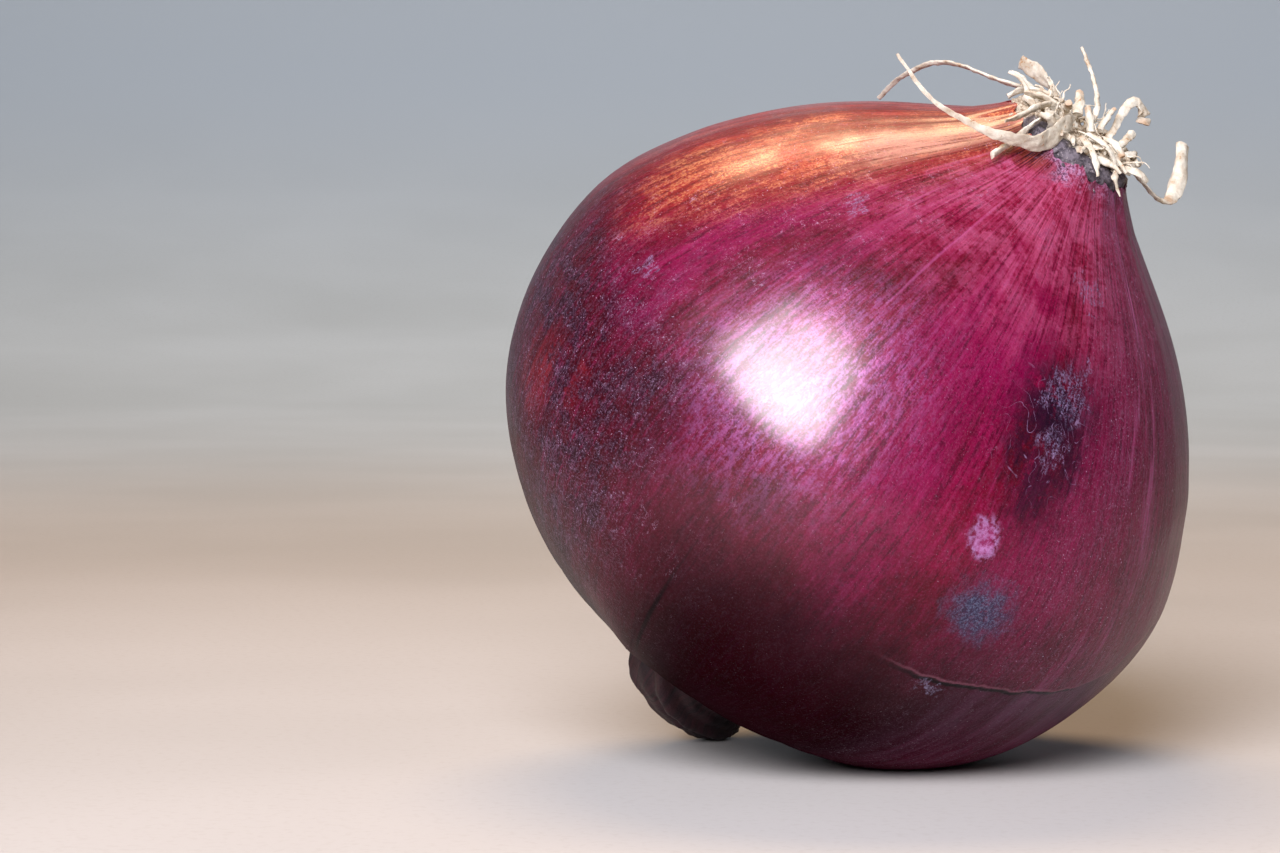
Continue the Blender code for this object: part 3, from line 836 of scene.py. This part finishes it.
def add_strand(name, route, widths, profile, tilt, seed, steps=ROOT_STEPS):
    """A dried root swept along its route, then wrinkled."""
    start_fresh()
    points = smooth(route, steps)
    data = bpy.data.curves.new(name, "CURVE")
    data.dimensions = "3D"
    data.bevel_mode = "OBJECT"
    data.bevel_object = profile
    data.use_fill_caps = True
    data.twist_mode = "Z_UP"
    line = data.splines.new("POLY")
    line.points.add(len(points) - 1)
    crown = PLACE @ Matrix.Translation(MM * CROWN_MIDDLE)
    for index, (target, point) in enumerate(zip(line.points, points)):
        share = index / (len(points) - 1)
        kink = 0.16 * noise.noise_vector(Vector(point) * 0.7 + Vector((seed, 0.0, 0.0)))
        target.co = (*(crown @ (MM * (point + kink * math.sin(math.pi * share)))), 1.0)
        swell = 1.0 + 0.16 * noise.noise(Vector((share * 6.0, seed, 0.0)))
        target.radius = spread(widths, share) * swell
        target.tilt = math.radians(spread(tilt, share) + 30.0 * noise.noise(Vector((share * 3.0, 0.0, seed))))
    strand = bpy.data.objects.new(name, data)
    bpy.context.collection.objects.link(strand)
    pick(strand)
    bpy.ops.object.convert(target="MESH")
    strand = bpy.context.object
    subdivide(strand, 1)
    points = points_of(strand)
    shift = np.array([noise.noise_vector(Vector(p) * 1.9) for p in points])
    set_points(strand, points + 0.10 * shift)
    return strand


def join(pieces, name):
    start_fresh()
    for piece in pieces:
        piece.select_set(True)
    bpy.context.view_layer.objects.active = pieces[0]
    bpy.ops.object.join()
    joined = bpy.context.object
    joined.name = joined.data.name = name
    return joined


def add_tangle(look, profiles):
    """The bed of short broken roots and hair-thin fibres that hides the middle of the plate."""
    chance = random.Random(7)
    stubs, hairs = [], []
    for index in range(64):
        way = math.tau * index * 0.618
        out = 5.9 * math.sqrt((index + 0.5) / 64)
        base = Vector((out * math.cos(way), out * math.sin(way), 0.3))
        swing = way + chance.uniform(-1.1, 1.1)
        length = chance.uniform(1.2, 3.4) * (0.75 + 0.06 * out)
        lift = chance.uniform(0.35, 1.1) * (1.15 - out / 9.0)
        level = Vector((math.cos(swing), math.sin(swing), 0.0))
        aside = Vector((-level.y, level.x, 0.0)) * chance.uniform(-0.7, 0.7)
        route = [base, base + length * (0.35 * level + Vector((0.0, 0.0, 0.55 * lift))),
                 base + length * (0.75 * level + 0.3 * aside + Vector((0.0, 0.0, 0.85 * lift))),
                 base + length * (1.1 * level + aside + Vector((0.0, 0.0, 0.7 * lift)))]
        width = chance.uniform(0.5, 1.0)
        kind = chance.choice(("round", "flat", "flat"))
        stubs.append(add_strand("stub", route, (width * 1.25, width, width * 0.9, width * 0.5),
                                profiles[kind], (0.0, 90.0), 60 + index, 3))
    for index in range(30):
        way = chance.uniform(0.0, math.tau)
        out = chance.uniform(1.0, 5.6)
        at = Vector((out * math.cos(way), out * math.sin(way), 1.2))
        route = [at]
        heading = Vector((math.cos(way), math.sin(way), chance.uniform(0.2, 1.0)))
        for step in range(4):
            heading = (heading + 0.8 * Vector([chance.uniform(-1.0, 1.0) for _ in range(3)])).normalized()
            route.append(route[-1] + heading * chance.uniform(0.7, 1.2))
            route[-1].z = max(route[-1].z, 0.9)
        hairs.append(add_strand("hair", route, (0.22, 0.18, 0.10), profiles["round"], (0.0, 0.0), 200 + index, 4))
    settle_piece(join(stubs, "root_stubs"), look, "dried_root")
    settle_piece(join(hairs, "root_hairs"), look, "dried_root")


def add_crumbs(look):
    """Crumbs of cork and scurf caught between the plate and the rim of the skin."""
    chance = random.Random(11)
    start_fresh()
    bpy.ops.mesh.primitive_ico_sphere_add(subdivisions=2, radius=1.0 * MM, location=(0.0, 0.0, 0.0))
    crumb = bpy.context.object
    points = points_of(crumb)
    points *= 1.0 + 0.45 * field(points, 1.3, 31.0)[:, None]
    set_points(crumb, points * (1.0, 0.8, 0.5))
    crumbs = []
    for index in range(90):
        copy = crumb.copy()
        copy.data = crumb.data.copy()
        bpy.context.collection.objects.link(copy)
        way = chance.uniform(0.0, math.tau)
        height = chance.uniform(36.0, 37.2)
        out = float(outline_radius(min(height, CROWN_END))) + chance.uniform(-0.1, 0.35)
        at = Vector((out * math.cos(way) + LEAN, out * math.sin(way), height))
        size = chance.uniform(0.16, 0.55) ** 1.3
        spin = Matrix.Rotation(chance.uniform(0.0, 3.0), 4, "X") @ Matrix.Rotation(way, 4, "Z")
        copy.data.transform(Matrix.Translation(at * MM) @ spin @ Matrix.Scale(size, 4))
        crumbs.append(copy)
    bpy.data.objects.remove(crumb)
    place_piece(join(crumbs, "collar_crumbs"), look, "basal_cork")


def add_roots(look):
    profiles = {kind: furrowed_profile(kind) for kind in FLATNESS}
    for seed, (name, widths, kind, tilt, route) in enumerate(ROOTS):
        node = "root_" + name
        strand = add_strand("dried_" + name, route, widths, profiles[kind], tilt, seed)
        settle_piece(strand, look, "dried_root", node)
    for seed, (node, angle, reach) in enumerate(FAR_ROOTS):
        route = far_route(angle, reach)
        strand = add_strand("dried_" + node, route, (0.9, 0.9, 0.6), profiles["flat"], (0.0, 40.0), 40 + seed)
        settle_piece(strand, look, "dried_root", node)
    add_tangle(look, profiles)
    for profile in profiles.values():
        bpy.data.objects.remove(profile)


# ---------------------------------------------------------------- neck
NECK_RINGS = (
    ((0.0, 0.0, 1.4), 5.9),
    ((0.2, 0.0, -0.2), 5.4),
    ((-0.3, 0.4, -2.2), 5.0),
    ((-0.4, 2.0, -4.4), 4.1),
    ((-0.1, 4.4, -6.3), 3.5),
    ((0.5, 7.0, -7.8), 2.9),
    ((1.1, 9.0, -8.7), 2.1),
    ((1.6, 10.2, -9.2), 1.0),
)


def add_neck(look):
    """The dried neck: pleated skin swept round its bend and pressed against the floor."""
    start_fresh()
    data = bpy.data.curves.new("profile_neck", "CURVE")
    ring = data.splines.new("POLY")
    ring.points.add(71)
    for index, point in enumerate(ring.points):
        way = math.tau * index / 72
        pleat = 0.10 * math.cos(7.0 * way + 0.4) + 0.07 * math.cos(12.0 * way + 1.0)
        point.co = (MM * (1.0 + pleat) * math.cos(way), MM * (1.0 + pleat) * math.sin(way), 0.0, 1.0)
    ring.use_cyclic_u = True
    profile = bpy.data.objects.new("profile_neck", data)
    bpy.context.collection.objects.link(profile)
    start = PLACE @ Vector((0.0, 0.0, (NECK_END - GAP) * MM))
    data = bpy.data.curves.new("dry_neck_skin", "CURVE")
    data.dimensions = "3D"
    data.bevel_mode = "OBJECT"
    data.bevel_object = profile
    data.use_fill_caps = True
    line = data.splines.new("POLY")
    rings = smooth([(*centre, radius) for centre, radius in NECK_RINGS], 6)
    line.points.add(len(rings) - 1)
    for index, (target, one) in enumerate(zip(line.points, rings)):
        share = index / (len(rings) - 1)
        target.co = (*(start + MM * one.xyz), 1.0)
        target.radius = one.w
        target.tilt = math.radians(-50.0 * share)
    neck = bpy.data.objects.new("dry_neck_skin", data)
    bpy.context.collection.objects.link(neck)
    pick(neck)
    bpy.ops.object.convert(target="MESH")
    neck = bpy.context.object
    bpy.data.objects.remove(profile)
    subdivide(neck, 1)
    points = points_of(neck)
    shift = np.array([noise.noise_vector(Vector(p) * 0.45) for p in points])
    points += 0.26 * shift + 0.10 * np.array([noise.noise_vector(Vector(p) * 1.5) for p in points])
    points[:, 2] = np.maximum(points[:, 2], 0.02)
    set_points(neck, points)
    settle_piece(neck, look, "neck_paper", "dry_neck")


# ---------------------------------------------------------------- floor and light
def floor_look():
    look = Look("pale_floor")
    at = look.node("ShaderNodeTexCoord", output=3)
    clouds = look.noise(at, 6.0, 3.0, 0.5)
    speckle = look.noise(at, 900.0, 2.0, 0.6)
    tone = look.mix(clouds.fade(0.3, 0.7), ink(188, 185, 180), ink(200, 197, 193))
    tone = look.mix(speckle.fade(0.5, 0.7) * 0.15, tone, ink(168, 160, 150))
    height = look.parts(at)[2]
    tone = look.mix(height.fade(0.0, 0.16), tone, ink(174, 178, 184))
    return look.finish({"Roughness": 0.75}, Base_Color=tone)


BOWL = (  # the studio floor and the wall it curves up into, as (height, radius) in metres
    (0.0, 0.70), (0.005, 0.90), (0.03, 1.10), (0.09, 1.30), (0.19, 1.46), (0.33, 1.56),
    (0.55, 1.60), (0.90, 1.60),
)


def add_studio():
    outline = [(height / MM, radius / MM) for height, radius in BOWL]
    floor = ring_shell("studio_floor", outline, 96, closed=False)
    bpy.ops.object.mode_set(mode="EDIT")
    bpy.ops.mesh.select_all(action="DESELECT")
    edit = bmesh.from_edit_mesh(floor.data)
    for edge in edit.edges:
        edge.select_set(edge.is_boundary and max(v.co.z for v in edge.verts) < 0.001)
    bmesh.update_edit_mesh(floor.data)
    bpy.ops.mesh.edge_face_add()
    bpy.ops.mesh.inset(thickness=0.05)
    bpy.ops.mesh.select_all(action="SELECT")
    bpy.ops.mesh.normals_make_consistent(inside=True)
    bpy.ops.object.mode_set(mode="OBJECT")
    bpy.ops.object.shade_smooth_by_angle(angle=math.radians(40.0))
    floor.data.materials.append(floor_look())
    bpy.context.scene.view_settings.view_transform = "Standard"
    world = bpy.data.worlds.new("studio")
    bpy.context.scene.world = world
    world.use_nodes = True
    world.node_tree.nodes["Background"].inputs["Color"].default_value = ink(170, 176, 186)
    world.node_tree.nodes["Background"].inputs["Strength"].default_value = 0.14
    add_light("window", (0.147, -0.826, 0.497), 0.62, (0.39, 0.46), 1.6, (0.96, 0.93, 1.0), spread=70.0)
    add_light("warm_top", (-0.25, 0.40, 0.88), 0.6, (0.30, 0.16), 1.9, (1.0, 0.66, 0.38))
    add_light("back_wash", (-0.25, 0.50, 0.80), 1.1, (0.9, 0.9), 11.0, (0.94, 0.97, 1.0),
              aim=(-0.40, 0.83, -0.39))


add_camera()
skin = skin_look()
roots = root_look()
add_bulb(skin)
cork = cork_look()
add_plate(cork)
add_crumbs(cork)
add_lip(skin)
add_roots(roots)
add_neck(paper_look())
add_studio()
